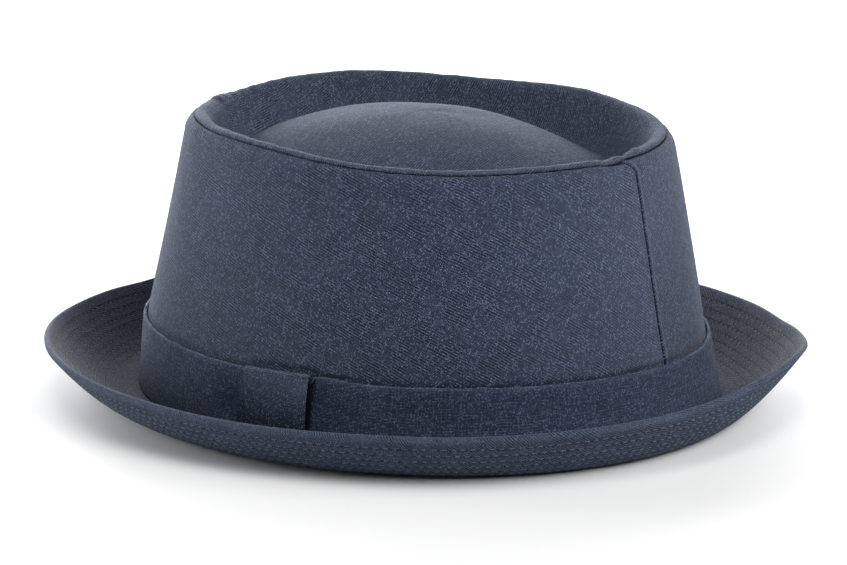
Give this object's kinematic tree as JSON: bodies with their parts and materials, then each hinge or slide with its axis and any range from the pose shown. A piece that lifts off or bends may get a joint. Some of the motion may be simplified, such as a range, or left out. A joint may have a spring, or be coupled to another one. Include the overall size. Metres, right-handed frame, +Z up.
{
  "type": "trilby hat",
  "caption": "Soft linen hat with a flat creased crown, a plain band with a small tab, and a stitched brim turned up all round.",
  "frame": {"origin": "middle of the outline in plan, on the surface that the brim's underside rests on", "axes": "+Z up through the crown, +X to the wearer's left, where the tab is, -Y to the front"},
  "size_m": [0.2418, 0.2599, 0.0953],
  "materials": {
    "crown_linen": "navy linen, matt, slubby plain weave with pale flecks",
    "tip_linen": "navy linen, matt, slubby plain weave with pale flecks",
    "band_linen": "darker navy linen, matt plain weave",
    "tab_linen": "darker navy linen, matt plain weave",
    "brim_linen": "navy linen, matt, with rows of topstitching"
  },
  "bodies": {
    "root": {"crown_side": "crown_linen", "crown_tip": "tip_linen", "hat_band": "band_linen", "band_tab": "tab_linen", "brim": "brim_linen"}
  },
  "joints": []
}
